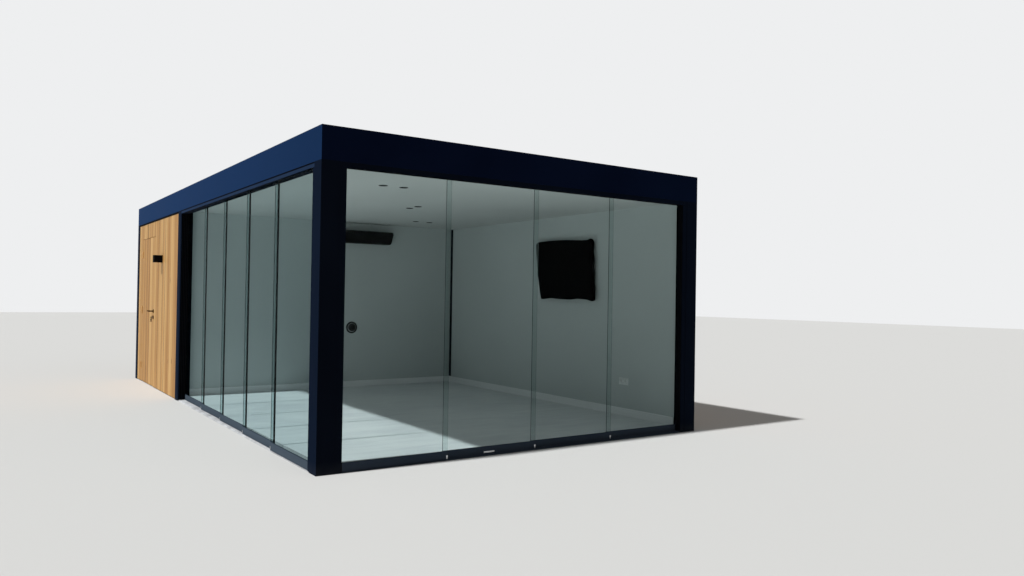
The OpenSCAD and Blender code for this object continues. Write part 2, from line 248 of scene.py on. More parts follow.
def powderCoat(name, part, glance=0.0, tint="paintedSkyGlance"):
    material, shader = startFinish(name, IOR=coat["bend"], Specular_IOR_Level=coat["shine"],
                                   Sheen_Weight=glance, Sheen_Roughness=coat["glance"], Sheen_Tint=coat[tint])
    spot = pieceSpace(shader)
    cloud = noiseOf(spot, *coat["drift"])
    colours = rampOf(cloud, *zip(coat["stops"], coat[part]))
    up = put(spot, "SeparateXYZ", {"Vector": spot}, "Z")
    low = spread(up, coat["dustShare"], 0, 0, coat["dustTop"])
    share = reckon("MULTIPLY", low, noiseOf(spot, *coat["dustPatch"]))
    dusty = mixColours(share, colours, paint(coat["dust"]))
    settle(shader, dusty, spread(cloud, *coat["rough"]), noiseOf(spot, *coat["grain"]), coat["grainDepth"])
    return material


# Oiled softwood boards: grain along the board, a tone of its own for each board, a few small knots, and
# painted shade in the joints
timber = {
    "dark": (142, 95, 44),
    "mid": (186, 141, 83),
    "light": (217, 180, 121),
    # painted shade on the faces inside the joints
    "joint": (44, 26, 12),
    "knot": (104, 64, 34),
    "figure": ((60, 1.1, 1), 6, 0.6, 1.2),  # stretch, then the noise's detail, roughness and twist
    "flame": ((16, 0.5, 1), 3, 0.5, 2.0),
    "fibre": ((900, 8, 1), 3),
    "fibreShare": 0.22,
    "toneSpan": (0.85, 2.25),  # from the darkest wood to the lightest
    "knots": (7, 1.7, 1),  # how close they lie across and along a board
    "knotSpan": (0.035, 0.075),
    "knotShare": 0.75,
    "grainDepth": 0.0003,
    "rough": (0.5, 0.72),
}


def oiledBoards(name):
    material, shader = startFinish(name, Specular_IOR_Level=0.35)
    sheet = put(shader, "UVMap", uv_map="boardMap")
    tone = put(shader, "Attribute", out="Fac", attribute_name="boardTone")
    figure, flame, fibre = (noiseOf(stretched(sheet, timber[key][0]), 1.0, *timber[key][1:])
                            for key in ("figure", "flame", "fibre"))
    broad = reckon("ADD", tone, reckon("ADD", figure, flame))
    share = reckon("MULTIPLY_ADD", fibre, timber["fibreShare"], broad)
    colours = rampOf(spread(share, 0, 1, *timber["toneSpan"]), (0.0, timber["dark"]), (0.45, timber["mid"]),
                     (1.0, timber["light"]))
    eyes = stretched(sheet, timber["knots"])
    dots = put(eyes, "TexVoronoi", {"Vector": eyes, "Scale": 1.0, "Randomness": 1.0})
    knots = spread(dots, timber["knotShare"], 0, *timber["knotSpan"])
    knotty = mixColours(knots, colours, paint(timber["knot"]))
    jointShaded = mixColours(reckon("LESS_THAN", tone, 0.0), knotty, paint(timber["joint"]))
    settle(shader, jointShaded, spread(fibre, *timber["rough"]), share, timber["grainDepth"])
    return material


# Toughened glass: clear, with dark green polished ends. Lamps shine through it.
pane = {
    "front": (232, 239, 238),
    "left": (208, 223, 224),  # darker than the front, partly painted shade for the dark reflections on the left side, which is also seen through more glass
    "passed": (236, 241, 241),  # tint of the light that comes through
    "bend": 1.015,  # index of refraction, low so that the room shows through
    "end": (6, 14, 12),
    "endFacing": 0.7,  # how squarely a face looks along the wall where it is an end
    "endRough": 0.3,
    "endShine": 0.15,
    "endInside": {"front": 0.2, "left": 0.55},  # how dark a pane's end is, seen from inside the glass: a painted shade where two panes overlap
}


def clearGlass(name, side, endAxis):
    material, shader = startFinish(name, Base_Color=paint(pane[side]), Roughness=0.0, IOR=pane["bend"],
                                   Transmission_Weight=1.0)
    end = put(shader, "BsdfPrincipled", {"Base Color": paint(pane["end"]), "Roughness": pane["endRough"],
                                         "Specular IOR Level": pane["endShine"]})
    facing = put(shader, "SeparateXYZ", {"Vector": put(shader, "TexCoord", out="Normal")}, endAxis)
    isEnd = reckon("GREATER_THAN", reckon("ABSOLUTE", facing), pane["endFacing"])
    dark = spread(put(shader, "NewGeometry", out="Backfacing"), 1.0, pane["endInside"][side])
    seen = mixShaders(reckon("MULTIPLY", isEnd, dark), shader.outputs[0], end)
    passed = put(shader, "BsdfTransparent", {"Color": paint(pane["passed"])})
    path = put(shader, "LightPath").node.outputs
    soft = mixShaders(path["Is Diffuse Ray"], seen, passed)
    lit = mixShaders(path["Is Shadow Ray"], soft, passed)
    join(lit, material.node_tree.nodes["Material Output"].inputs["Surface"])
    return material


# Trowelled concrete floor: cloudy greys, faint trowel streaks and pinholes
screed = {
    "light": (238, 239, 240),
    "mid": (229, 231, 233),
    "dark": (216, 218, 222),
    "cloud": (1.1, 5, 0.6, 0.4),  # scale, detail, roughness and twist of a noise
    "streak": (1.5, 6, 0.62, 0.8),
    "streakWay": (0.8, 5.5, 1),
    "streakDepth": 0.0006,
    "holes": 55.0,  # how close they lie
    "holeSpan": (0.03, 0.09),
    "holeDepth": 0.0004,
    "rough": (0.38, 0.62),
}


def trowelledFloor(name):
    material, shader = startFinish(name, Specular_IOR_Level=0.4)
    spot = pieceSpace(shader)
    cloud = noiseOf(spot, *screed["cloud"])
    streak = noiseOf(pieceSpace(shader, screed["streakWay"]), *screed["streak"])
    share = reckon("MULTIPLY", reckon("ADD", cloud, streak), 0.5)
    colours = rampOf(share, (0.36, screed["dark"]), (0.5, screed["mid"]), (0.64, screed["light"]))
    holes = put(spot, "TexVoronoi", {"Vector": spot, "Scale": screed["holes"]})
    pits = spread(holes, 0, 1, *screed["holeSpan"])
    streaks = bumpTo(shader, streak, screed["streakDepth"])
    settle(shader, colours, spread(cloud, *screed["rough"]), pits, screed["holeDepth"], streaks)
    return material


# A finish from one or two noises. The first gives the colour and, unless roughBy says otherwise, the
# roughness, and the last gives the bump.
def noisyFinish(name, stops, noises, rough, depth, scale=None, roughBy=0, **sockets):
    material, shader = startFinish(name, **sockets)
    spot = pieceSpace(shader, scale)
    made = [noiseOf(spot, *values) for values in noises]
    settle(shader, rampOf(made[0], *stops), spread(made[roughBy], *rough), made[-1], depth)
    return material


# Matt wall paint with the fine stipple that a roller leaves
def rolledPaint(name, colour, shade):
    return noisyFinish(name, [(0.3, shade), (0.7, colour)], [(0.9, 3), (260, 3)], rough=(0.8, 0.95),
                       depth=0.00015, roughBy=1, Specular_IOR_Level=0.25)


# Moulded plastic: fine spark texture, or a gloss front
def mouldedPlastic(name, colour, rough, texture, gloss=0.0, shine=0.5):
    lighter = tuple(min(255, value * 1.25 + 3) for value in colour)
    return noisyFinish(name, [(0.3, colour), (0.75, lighter)], [(6, 3), (700, 2)],
                       rough=(rough * 0.85, rough * 1.15), depth=texture, Coat_Weight=gloss,
                       Coat_Roughness=0.04, Specular_IOR_Level=shine)


# Brushed metal: a fine grain in one direction and a soft streak in its shine
def brushedMetal(name, colour, rough, scale, glance=(1, 1, 1, 1)):
    darker = tuple(value * 0.86 for value in colour)
    return noisyFinish(name, [(0.3, darker), (0.7, colour)], [(40, 4, 0.6)], rough=(rough * 0.8, rough * 1.3),
                       depth=0.00002, scale=scale, Metallic=1.0, Specular_Tint=glance)


# Woven polyester: two crossed rows of threads under a soft sheen
cloth = {
    "thread": 0.0012,  # metres from one thread to the next
    "wave": 0.314,  # length of a wave at scale 1
    "wander": 0.4,
    "threadDeep": 0.3,  # share of a thread's width
    "dark": (1, 1, 3),
    "light": (5, 5, 8),
    "sheen": 0.02,
    "weave": 0.3,  # how much the threads show against the slow fade
    "fade": (5, 4),
}


def wovenCloth(name):
    material, shader = startFinish(name, Roughness=0.82, Sheen_Weight=cloth["sheen"], Sheen_Roughness=0.5,
                                   Specular_IOR_Level=0.05)
    sheet = put(shader, "UVMap", uv_map="clothMap")
    sockets = {"Vector": sheet, "Scale": cloth["wave"] / cloth["thread"], "Distortion": cloth["wander"]}
    weave = reckon("MULTIPLY", *[put(sheet, "TexWave", sockets, "Fac", bands_direction=way) for way in "XY"])
    share = reckon("MULTIPLY_ADD", weave, cloth["weave"], noiseOf(sheet, *cloth["fade"]))
    join(rampOf(share, (0.35, cloth["dark"]), (0.95, cloth["light"])), shader.inputs["Base Color"])
    bumpTo(shader, weave, cloth["thread"] * cloth["threadDeep"])
    return material


# Sheen weights paint reflection part by part: strong and blue on the side and rear fascias, faint on the
# front fascia and the frame
fasciaFinish = powderCoat("fasciaCoat", "fascia", glance=0.21)
frontFasciaFinish = powderCoat("frontFasciaCoat", "fascia", glance=0.05)
frameFinish = powderCoat("frameCoat", "frame", glance=0.045)
# The rails' grey sheen is a painted highlight of the sun at a glance
railFinish = powderCoat("railCoat", "rails", glance=0.2, tint="paintedSunGlance")
sunlitTrackFinish = powderCoat("sunlitTrackCoat", "track", glance=0.1)
stripFinish = powderCoat("stripCoat", "strips")
lampFinish = powderCoat("lampCoat", "lamp")
boardFinish = oiledBoards("oiledBoards")
frontGlass = clearGlass("frontGlass", "front", "X")
leftGlass = clearGlass("leftGlass", "left", "Y")
# Wall and ceiling paint are greyer than the skirting, partly as painted shade inside the room; the walls are
# darker and cooler than the ceiling
wallFinish = rolledPaint("wallPaint", (207, 213, 213), (200, 206, 206))
ceilingFinish = rolledPaint("ceilingPaint", (221, 223, 222), (215, 217, 216))
skirtingFinish = rolledPaint("skirtingPaint", (250, 251, 252), (246, 247, 248))
floorFinish = trowelledFloor("trowelledFloor")
# Rubber roof sheet, charcoal with dried puddle marks, and the plain sawn boards of the deck under it
membraneFinish = noisyFinish("roofSheet", [(0.42, (50, 52, 54)), (0.56, (66, 67, 67)), (0.66, (50, 52, 54))],
                             [(0.8, 5, 0.55, 0.6), (320, 3)], rough=(0.6, 0.85), depth=0.0003,
                             Specular_IOR_Level=0.3)
deckFinish = noisyFinish("deckBoard", [(0.3, (138, 110, 78)), (0.7, (176, 146, 108))], [(1, 5, 0.6, 0.5)],
                         rough=(0.65, 0.9), depth=0.0003, scale=(2, 30, 30), Specular_IOR_Level=0.2)
blackFinish = mouldedPlastic("blackPlastic", (9, 9, 10), 0.48, 0.00008)
glossFinish = mouldedPlastic("glossBlack", (3, 3, 4), 0.2, 0.000004, gloss=0.15, shine=0.3)
whitePlastic = mouldedPlastic("whitePlastic", (208, 211, 210), 0.4, 0.00002)
rubberFinish = mouldedPlastic("blackRubber", (17, 17, 18), 0.75, 0.0002, shine=0.08)
hardwareFinish = brushedMetal("darkHardware", (38, 29, 23), 0.45, (1, 12, 12), glance=(0.05, 0.04, 0.03, 1))
steelFinish = brushedMetal("brushedSteel", (196, 198, 200), 0.3, (10, 10, 1))
# The hinges' light timber colour is lightened further as painted light, against the shade on their near side
hingeFinish = mouldedPlastic("hingePaint", (206, 164, 108), 0.6, 0.00002)
sillFinish = mouldedPlastic("anodisedSill", (176, 178, 180), 0.7, 0.00002)
coverFinish = wovenCloth("wovenCover")
lensFinish = mouldedPlastic("frostedLens", (206, 206, 200), 0.35, 0.00005)
print("finishes mixed")

panes = {"front": 4, "left": 5}  # the last one of each side is fixed


def eachPane(side, part):
    return [f"{side}_{part}_{k}" for k in range(1, panes[side] + 1)]


# Gives a piece of the frame its finish
def dress(finish, *names):
    for name in names:
        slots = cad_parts[name].data.materials
        slots.clear()
        slots.append(finish)


dress(frontFasciaFinish, "fascia_front")
dress(fasciaFinish, "fascia_left", "fascia_right", "fascia_rear")
dress(frameFinish, "posts", "front_top_track", "side_profiles")
dress(stripFinish, "head_strips")
# One sill profile: the front sill takes the dark rail coat as painted shade, the left sill a pale finish
dress(sillFinish, "left_sill")
# The left top track is lighter than the front one: painted sunlight on its outer fin
dress(sunlitTrackFinish, "left_top_track")
dress(railFinish, "front_sill", *eachPane("front", "rail"), *eachPane("left", "rail"))
dress(frontGlass, *eachPane("front", "glass"))
dress(leftGlass, *eachPane("left", "glass"))
dress(wallFinish, "partition", "left_wall_near", "left_wall_far", "left_wall_over", "right_wall", "rear_wall")
dress(ceilingFinish, "ceiling")
dress(skirtingFinish, "skirting")
dress(floorFinish, "floor_slab")
dress(membraneFinish, "roof_membrane")
dress(deckFinish, "roof_deck")
dress(blackFinish, "roof_outlet", "downlights")
dress(lampFinish, "wall_lamp")
dress(hardwareFinish, "door_lever", "door_rosettes")
print("frame dressed")


# Mesh building. Shapes are drawn in plan positions and moved to the pod's frame when the piece is made.
def addBlock(shape, low, high, soft=0.0, place=onFront, finish=0):
    known = set(shape.faces)
    made = bmesh.ops.create_cube(shape, size=1)["verts"]
    for vert in made:
        spot = [a + (b - a) * (share + 0.5) for a, b, share in zip(low, high, vert.co)]
        vert.co = place(*spot)
    if soft:
        edges = list({edge for vert in made for edge in vert.link_edges})
        bmesh.ops.bevel(shape, geom=edges, offset=soft, segments=2, profile=0.6, affect="EDGES")
    for face in set(shape.faces) - known:
        face.material_index = finish


# Rings of points joined one to the next, with both ends closed
def addLoft(shape, rings, finish=0):
    lines = [[shape.verts.new(point) for point in ring] for ring in rings]
    made = [shape.faces.new(lines[0]), shape.faces.new(lines[-1])]
    for low, high in zip(lines, lines[1:]):
        for i in range(len(low)):
            j = (i + 1) % len(low)
            made.append(shape.faces.new((low[i], low[j], high[j], high[i])))
    for face in made:
        face.material_index = finish
    return made


# A section of (a, b) points drawn out from one end to the other
def addPrism(shape, section, start, end, toPoint, finish=0):
    return addLoft(shape, [[toPoint(a, b, t) for a, b in section] for t in (start, end)], finish)


# A profile of (radius, height) points turned round an axis
def addTurned(shape, profile, centre, axis, steps=40, finish=0):
    turn = Vector((0, 0, 1)).rotation_difference(Vector(axis))
    rings = []
    for radius, height in profile:
        angles = [2 * pi * i / steps for i in range(steps if radius else 1)]
        spots = [Vector((radius * cos(angle), radius * sin(angle), height)) for angle in angles]
        rings.append([shape.verts.new(Vector(centre) + turn @ spot) for spot in spots])
    for low, high in zip(rings, rings[1:]):
        for i in range(steps):
            j = (i + 1) % steps
            around = [low[i % len(low)], low[j % len(low)], high[j % len(high)], high[i % len(high)]]
            shape.faces.new(list(dict.fromkeys(around))).material_index = finish


# A screw head with a round recess
def addScrew(shape, centre, axis, radius, finish):
    profile = [(0, 0.1), (0.42, 0.1), (0.48, 0.5), (0.8, 0.42), (1, 0)]
    addTurned(shape, [(radius * wide, radius * rise) for wide, rise in profile], centre, axis, 12, finish)


def addMesh(shape, name, finishes):
    mesh = bpy.data.meshes.new(name)
    shape.to_mesh(mesh)
    shape.free()
    for finish in finishes:
        mesh.materials.append(finish)
    return addObject(name, mesh)


def makePiece(shape, name, finishes, body="pod", stands=(), sharp=32):
    bmesh.ops.translate(shape, verts=shape.verts, vec=corner)
    bmesh.ops.recalc_face_normals(shape, faces=shape.faces)
    for face in shape.faces:
        face.smooth = True
    for edge in shape.edges:
        edge.smooth = len(edge.link_faces) == 2 and edge.calc_face_angle(0) < radians(sharp)
    piece = addMesh(shape, name, finishes)
    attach(piece, body)
    if stands:
        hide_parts(*stands)
    return piece


# Timber boarding: tongued boards with a V joint, each with its own tone, and painted shade in the joints
boarding = {
    "pitch": 0.0903,  # metres from joint to joint
    "gap": 0.003,
    "vee": 0.0045,
    "tongue": 0.006,
    "tongueSlack": 0.0005,
    "wave": 0.0005,  # how far one board may stand behind the next
    "batch": 0.25,  # how much of a board's tone its batch decides
    "batchSize": (2, 4),  # neighbours from one batch of wood
    "batchStep": (0.3, 0.7),
    "grainShift": 40,  # how far apart the boards may take their grain
    "shown": (0, 1, 7, 8, 9),  # a board's ends, face and bevels; its other faces, inside the joints, are painted dark as shade
    "nearBevel": 7,
    "shadedBevelShare": 0.15,  # share of the joints whose near bevel is also painted dark, as a shade line up to the face
    "shadedBevelsLeft": (5.852, 6.032, 6.303, 7.149),  # the joints on the left side with that painted shade line, in metres from the front
    "seeds": {"left": 7, "right": 11, "rear": 13, "door": 19},
    "doorBoards": 10,
    "doorNear": 6.574,  # the doorway, in metres from the front
    "doorFar": 7.533,
    "overDoor": 2.189,
    "seamAfter": 5,  # boards before the seam over the door
    "seam": 0.024,
    "seamStrip": (0.002, 0.0003, 0.001),  # how far its dark strip, a painted shadow in the seam, is in at the face and back, and its lap
}


def boardSection(wide, thick):
    vee, gap, tongue = boarding["vee"], boarding["gap"] / 2, boarding["tongue"]
    third, slack = thick / 3, boarding["tongueSlack"]
    return [(gap, thick), (gap, 2 * third), (gap + tongue, 2 * third), (gap + tongue, third), (gap, third),
            (gap, vee), (gap + vee, 0), (wide - gap - vee, 0), (wide - gap, vee), (wide - gap, third + slack),
            (wide - gap + tongue, third + slack), (wide - gap + tongue, 2 * third - slack),
            (wide - gap, 2 * third - slack), (wide - gap, thick)]


# Lays boards side by side over one stretch of wall
def layBoards(shape, stretch, heights, depths, place, dice, count=None, seam=None, shift=0.0):
    count = count or round((stretch[1] - stretch[0]) / boarding["pitch"])
    marks = random.Random(count)
    sheet = shape.loops.layers.uv.get("boardMap") or shape.loops.layers.uv.new("boardMap")
    tone = shape.faces.layers.float.get("boardTone") or shape.faces.layers.float.new("boardTone")
    pitch = (stretch[1] - stretch[0]) / count
    batch, left = dice.random(), dice.randint(*boarding["batchSize"])
    for i in range(count):
        start = stretch[0] + i * pitch
        back = dice.uniform(0, boarding["wave"])
        section = boardSection(pitch, depths[1] - depths[0] - back)
        if i == count - 1:
            section = [(min(a, pitch), b) for a, b in section]
        if i == seam:
            section = [(min(a, pitch - boarding["seam"]), b) for a, b in section]
        if not left:
            batch = (batch + dice.uniform(*boarding["batchStep"])) % 1
            left = dice.randint(*boarding["batchSize"])
        left -= 1
        made = addPrism(shape, section, heights[0], heights[1],
                        lambda a, b, up: place(start + a, depths[0] + back + b, up))
        drift = Vector([dice.uniform(0, boarding["grainShift"]) for _ in range(2)])
        shade = max(0, boarding["batch"] * batch + (1 - boarding["batch"]) * dice.random() + shift)
        # Faces inside a joint, and the near bevel of some joints, are painted dark as shade
        if place is onLeft:
            hasShadedBevel = any(abs(start - spot) < pitch / 2 for spot in boarding["shadedBevelsLeft"])
        else:
            hasShadedBevel = marks.random() < boarding["shadedBevelShare"]
        for part, face in enumerate(made):
            dark = part not in boarding["shown"] or (hasShadedBevel and part == boarding["nearBevel"])
            face[tone] = -1.0 if dark else shade
            for loop in face.loops:
                spot = loop.vert.co
                loop[sheet].uv = Vector((spot.x + spot.y, spot.z)) + drift


# The stretches of a side's wall that are boarded from the ground up
def boardRuns(side):
    start, end = sideBox(side, f"{side}_cladding")[0]
    if side == "left":
        return (start, boarding["doorNear"]), (boarding["doorFar"], end)
    if side == "right":
        return (start, sideBox("left", "left_top_track")[0][1]), (sideBox("left", "left_cladding")[0][0], end)
    return ((start, end),)


def cladLeft():
    _, depths, (foot, top) = sideBox("left", "left_cladding")
    near, far = boardRuns("left")
    over, count, after = boarding["overDoor"], boarding["doorBoards"], boarding["seamAfter"]
    dice = random.Random(boarding["seeds"]["left"])
    shape = bmesh.new()
    layBoards(shape, near, (foot, top), depths, onLeft, dice)
    layBoards(shape, (near[1], far[0]), (over, top), depths, onLeft, dice, count, after)
    layBoards(shape, far, (foot, top), depths, onLeft, dice)
    seamEnd = near[1] + (after + 1) * (far[0] - near[1]) / count
    # A dark strip in the seam over the door paints the shadow of an open joint
    face, back, lap = boarding["seamStrip"]
    addBlock(shape, (seamEnd - boarding["seam"], depths[0] + face, over),
             (seamEnd + lap, depths[1] - back, top), place=onLeft, finish=1)
    makePiece(shape, "leftBoards", [boardFinish, rubberFinish],
              stands=["left_cladding"])


def cladPlain(side):
    _, depths, heights = sideBox(side, f"{side}_cladding")
    dice = random.Random(boarding["seeds"][side])
    shape = bmesh.new()
    for stretch in boardRuns(side):
        layBoards(shape, stretch, heights, depths, onSide[side], dice)
    makePiece(shape, f"{side}Boards", [boardFinish], stands=[f"{side}_cladding"])


cladLeft()
cladPlain("right")
cladPlain("rear")
print("boards laid")


# Storage door: a boarded leaf in a rebated metal frame, on three knuckle hinges
door = {
    "shade": -0.12,  # how much darker its boards are
    "near": 6.58,  # latch edge, in metres from the pod's front
    "far": 7.527,
    "foot": 0.012,
    "top": 2.183,
    "face": 0.006,  # depths behind the pod's left face
    "core": 0.026,
    "back": 0.070,
    "inside": 0.150,
    "ease": 0.003,  # how far the core stands in at the latch edge
    "gap": 0.006,
    "stop": 0.020,
    "jamb": 0.040,
    "sill": 0.050,
    "sillEdge": 0.004,  # width of its bevel
    "groove": (0.018, 0.006, 0.0015),  # pitch, width and depth
    "seal": [(0, 0.002), (-0.002, 0.003), (-0.0034, 0.007), (-0.0034, 0.010), (-0.002, 0.014), (0, 0.015)],
}
hinge = {
    "feet": (0.2, 1.05, 1.9),
    "high": 0.1,
    "knuckles": 5,
    "radius": 0.006,
    "out": 0.001,  # between the door's face and the knuckles
    "slack": 0.00025,  # at each end of a knuckle
    "round": 0.0006,
    "end": 0.9,  # radius at a knuckle's ends, as a share
    "plate": 0.002,
    "laps": (0.001, 0.002),  # of a knuckle's tongue behind the face, and of a plate behind the boards
    "screws": (1, 2, 4),  # at these knuckles
    "screwDeep": 0.017,
    "screw": 0.0025,
}
latch = {
    "deep": 0.048,  # middle of its plates
    "span": (0.97, 1.17),  # foot and top of its plates
    "bolt": 1.1,  # height of its middle
    "screwIn": 0.012,  # from the end of a plate to its screw
    "screw": 0.003,
    # half the width of a plate and its two faces, half the width and height of the bolt or of its hole with
    # its two faces, the way the screws face, then the finish and soft edge of the bolt or its hole
    "leaf": ((0.012, -0.0006, 0), (0.006, 0.013, -0.0018, 0), -1, 2, 0.0006),
    "frame": ((0.014, -0.001, 0.0008), (0.007, 0.016, -0.002, 0.001), 1, 3, 0),
}


# One half of each hinge: its plate, with screws, and every other knuckle
def addHinges(shape, first, plateNear, turned):
    radius, soft, tongue, lap = hinge["radius"], hinge["round"], *hinge["laps"]
    pin = (door["face"] - radius - hinge["out"], door["far"] + door["gap"] / 2)
    plateFar = plateNear + hinge["plate"]
    step = hinge["high"] / hinge["knuckles"]
    for foot in hinge["feet"]:
        addBlock(shape, (door["face"], plateNear, foot), (door["core"] + lap, plateFar, foot + hinge["high"]),
                 finish=2)
        for i in range(first, hinge["knuckles"], 2):
            low, high = foot + i * step + hinge["slack"], foot + (i + 1) * step - hinge["slack"]
            end = radius * hinge["end"]
            profile = [(0, 0), (end, 0), (radius, soft), (radius, high - low - soft), (end, high - low),
                       (0, high - low)]
            addTurned(shape, profile, (*pin, low), (0, 0, 1), 24, 2)
            addBlock(shape, (pin[0], plateNear, low), (door["face"] + tongue, plateFar, high), finish=2)
        for i in hinge["screws"]:
            spot = (hinge["screwDeep"], plateFar if turned > 0 else plateNear, foot + (i - 0.5) * step)
            addScrew(shape, spot, (0, turned, 0), hinge["screw"], 2)


# A plate of the latch with its bolt, or with the hole for it, and two screws
def addLatch(shape, side, edge):
    (half, *plate), (slim, tall, *bolt), turned, finish, soft = latch[side]
    middle, (low, high), up = latch["deep"], latch["span"], latch["bolt"]
    addBlock(shape, (middle - half, edge + plate[0], low), (middle + half, edge + plate[1], high), finish=2)
    addBlock(shape, (middle - slim, edge + bolt[0], up - tall), (middle + slim, edge + bolt[1], up + tall),
             soft, finish=finish)
    for spot in (low + latch["screwIn"], high - latch["screwIn"]):
        addScrew(shape, (middle, edge + plate[turned > 0], spot), (0, turned, 0), latch["screw"], 2)


def makeLeaf():
    shape = bmesh.new()
    edge = door["near"] + door["ease"]
    layBoards(shape, (door["near"], door["far"]), (door["foot"], door["top"]), (door["face"], door["core"]),
              onLeft, random.Random(boarding["seeds"]["door"]), boarding["doorBoards"], shift=door["shade"])
    addBlock(shape, (door["core"], edge, door["foot"]), (door["back"], door["far"], door["top"]), soft=0.0008,
             finish=1)
    addHinges(shape, 1, door["far"], 1)
    addLatch(shape, "leaf", edge)
    makePiece(shape, "doorLeaf", [boardFinish, frameFinish, hingeFinish], body="storage_leaf",
              stands=["storage_door"])


def makeDoorFrame():
    near, far = door["near"] - door["gap"], door["far"] + door["gap"]
    top = door["top"] + door["gap"]
    jamb, stop, sill = door["jamb"], door["stop"], door["sill"]
    front, back, stopAt = door["core"], door["inside"], door["back"] + door["gap"]
    post = [(front, -jamb), (back, -jamb), (back, stop), (stopAt, stop), (stopAt, 0), (front, 0)]
    pitch, wide, deep = door["groove"]
    tread = [(stopAt, 0), (stopAt, sill - door["sillEdge"]), (stopAt + door["sillEdge"], sill)]
    for i in range(3):
        groove = stopAt + pitch + i * pitch
        tread += [(groove, sill), (groove, sill - deep), (groove + wide, sill - deep), (groove + wide, sill)]
    tread += [(back, sill), (back, 0)]
    seal = [(stopAt + a, b) for a, b in door["seal"]]
    shape = bmesh.new()

    # Draws a section up both jambs and along the head
    def addAround(section, foot, head, finish):
        addPrism(shape, section, foot, head, lambda a, b, up: Vector((a, near + b, up)), finish)
        addPrism(shape, section, foot, head, lambda a, b, up: Vector((a, far - b, up)), finish)
        addPrism(shape, section, near, far, lambda a, b, along: Vector((a, along, top - b)), finish)

    addAround(post, 0, top + jamb, 0)
    addPrism(shape, tread, near, far, lambda a, b, along: Vector((a, along, b)), finish=1)
    addHinges(shape, 0, far - hinge["plate"], -1)
    addLatch(shape, "frame", near)
    addAround(seal, sill, top, 3)
    makePiece(shape, "doorFrame", [frameFinish, sillFinish, hingeFinish, rubberFinish],
              stands=["door_frame"])


# A key in the lock of the storage door, with a ring that two more keys hang from
keys = {
    "lock": [(0, 0.0008), (0.0062, 0.0008), (0.0068, 0)],
    "slit": ((-0.0011, -0.0006, -0.0042), (-0.0006, 0.0006, 0.0042)),
    "shank": (0.009, 0.004),  # length, and half its height
    "out": 0.008,  # from the lock to the rim of the key's bow
    "bow": (0.005, 0.011),  # radius of its hole and of its rim
    "bevel": 0.0005,
    "thick": 0.0011,  # half of it
    "ring": 0.010,
    "wire": 0.0009,
    "hold": 0.0012,  # how far the ring and a bow's hole overlap
    "lap": 0.0008,  # of a blade and its bow
    "blade": [(-0.0035, 0), (0.0035, 0), (0.0035, -0.027), (0.001, -0.031), (-0.0035, -0.029),
              (-0.0035, -0.024), (-0.0018, -0.022), (-0.0035, -0.019), (-0.0035, -0.015), (-0.002, -0.013),
              (-0.0035, -0.010)],
    "swings": ((-0.0026, -9), (0.0026, 14)),  # sideways place and lean of each hanging key, in degrees
}


def addBow(shape, centre):
    inner, outer, half, bevel = *keys["bow"], keys["thick"], keys["bevel"]
    rim = [(inner, -half), (outer - bevel, -half), (outer, 0), (outer - bevel, half), (inner, half)]
    addTurned(shape, rim + rim[:1], centre, (0, 1, 0), 28, 2)


def makeLock():
    low, high = planBox("door_rosettes")
    centre = Vector((low.x, (low.y + high.y) / 2, low.z + (high.y - low.y) / 2))
    inner, outer, half, lap = *keys["bow"], keys["thick"], keys["lap"]
    ring, wire, hold = keys["ring"], keys["wire"], keys["hold"]
    long, tall = keys["shank"]
    shape = bmesh.new()
    addTurned(shape, keys["lock"], centre, (-1, 0, 0), 28)
    addBlock(shape, *[centre + Vector(spot) for spot in keys["slit"]], finish=1)
    addBlock(shape, centre - Vector((long, half, tall)), centre + Vector((0, half, tall)), soft=0.0004,
             finish=2)
    hub = centre - Vector((keys["out"] + outer, 0, 0))
    addBow(shape, hub)
    loop = [(ring + wire * cos(t), wire * sin(t)) for t in (radians(60 * i) for i in range(6))]
    middle = hub - Vector((0, 0, inner - hold + ring))
    addTurned(shape, loop + loop[:1], middle, (1, 0, 0), 32, 2)
    grip = middle - Vector((0, 0, ring))
    for aside, lean in keys["swings"]:
        turn = Matrix.Rotation(radians(lean), 3, "Y")
        hang = grip + turn @ Vector((0, 0, hold - inner))
        addBow(shape, hang + Vector((0, aside, 0)))
        addPrism(shape, keys["blade"], aside - half, aside + half,
                 lambda a, b, t: hang + turn @ Vector((a, 0, b - outer + lap)) + Vector((0, t, 0)), finish=2)
    makePiece(shape, "lockKeys", [steelFinish, rubberFinish, hardwareFinish], body="storage_leaf")


makeLeaf()
makeDoorFrame()
makeLock()
print("door hung")


# Trim of the panels: a cap on each end of a rail, a steel catch where two panels meet, and a seal on the end
# of a pane
railTrim = {
    "cap": 0.0015,  # how far a cap stands out
    "capInset": 0.0004,
    "catchWide": 0.014,
    "catchRise": (0.003, 0.035),  # over the rail's foot
    "catchThick": 0.001,
    "plateSpan": (1.538, 1.648),  # the small plate on the second front rail
    "plateHigh": (0.021, 0.035),
    "plateThick": 0.001,
    "plateScrews": (0.008, 0.003),  # distance from its ends, and radius
    "sealGaps": (0.001, 0.002),  # at its foot and top
    "sealLong": 0.016,
    "sealProud": 0.002,
    "sealEnd": 0.0015,
    "sealSlack": 0.0002,
}


# A rubber channel that grips the near end of a left pane
def addEndSeal(shape, k, foot):
    (start, _), (near, far), _ = sideBox("left", f"left_glass_{k}")
    footGap, topGap = railTrim["sealGaps"]
    top = planBox("left_top_track")[0].z - topGap
    back, proud, end, slack = (railTrim[key] for key in ("sealLong", "sealProud", "sealEnd", "sealSlack"))
    section = [(-end, near - proud), (back, near - proud), (back, near - slack), (-slack, near - slack),
               (-slack, far + slack), (back, far + slack), (back, far + proud), (-end, far + proud)]
    addPrism(shape, section, foot + footGap, top, lambda a, b, up: onLeft(start + a, b, up), finish=2)


